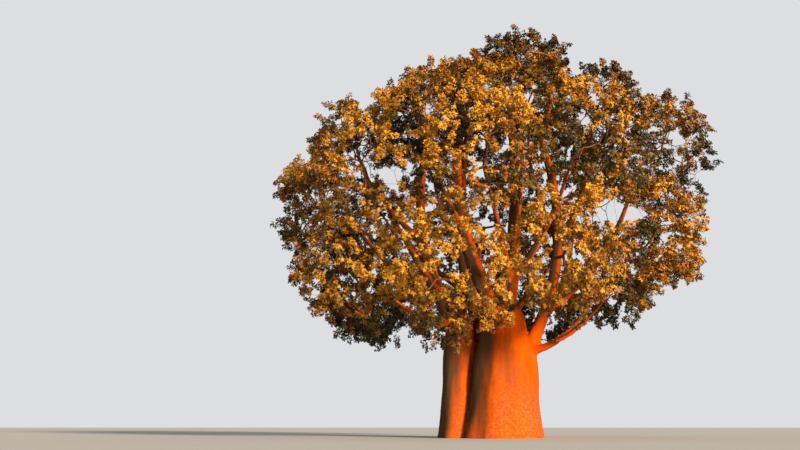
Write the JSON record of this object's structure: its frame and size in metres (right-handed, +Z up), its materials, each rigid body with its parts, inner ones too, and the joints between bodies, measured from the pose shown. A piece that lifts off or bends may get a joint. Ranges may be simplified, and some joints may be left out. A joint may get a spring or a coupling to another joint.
{
  "type": "leafy baobab tree",
  "caption": "Old broad baobab in full leaf, rooted in level ground: swollen trunk of fused stems, spreading boughs and a wide rounded crown.",
  "frame": {"origin": "middle of the flat cut under the trunk, at ground level", "axes": "+Z up, +X to the right of the view in the picture, +Y away from it"},
  "size_m": [20.2626, 17.9701, 19.3434],
  "materials": {
    "bark": "rough matte bark, copper brown",
    "foliage": "matte leaves, olive to golden brown"
  },
  "bodies": {
    "root": {"bough_high_back_left": "bark", "bough_high_back_right": "bark", "bough_high_front_left": "bark", "bough_high_front_right": "bark", "bough_high_left": "bark", "bough_high_right": "bark", "bough_low_back": "bark", "bough_low_back_left": "bark", "bough_low_back_right": "bark", "bough_low_front": "bark", "bough_low_front_left": "bark", "bough_low_front_right": "bark", "bough_low_left": "bark", "bough_low_right": "bark", "bough_middle_back": "bark", "bough_middle_back_left": "bark", "bough_middle_back_right": "bark", "bough_middle_front": "bark", "bough_middle_front_left": "bark", "bough_middle_front_right": "bark", "bough_middle_left": "bark", "bough_middle_right": "bark", "bough_top_back": "bark", "bough_top_front_left": "bark", "bough_top_front_right": "bark", "bough_top_left": "bark", "bough_top_right": "bark", "foliage_high_back_left": "foliage", "foliage_high_back_right": "foliage", "foliage_high_front_left": "foliage", "foliage_high_front_right": "foliage", "foliage_high_left": "foliage", "foliage_high_right": "foliage", "foliage_low_back": "foliage", "foliage_low_back_left": "foliage", "foliage_low_back_right": "foliage", "foliage_low_front": "foliage", "foliage_low_front_left": "foliage", "foliage_low_front_right": "foliage", "foliage_low_left": "foliage", "foliage_low_right": "foliage", "foliage_middle_back": "foliage", "foliage_middle_back_left": "foliage", "foliage_middle_back_right": "foliage", "foliage_middle_front": "foliage", "foliage_middle_front_left": "foliage", "foliage_middle_front_right": "foliage", "foliage_middle_left": "foliage", "foliage_middle_right": "foliage", "foliage_top_back": "foliage", "foliage_top_front_left": "foliage", "foliage_top_front_right": "foliage", "foliage_top_left": "foliage", "foliage_top_right": "foliage", "trunk": "bark"}
  },
  "joints": []
}
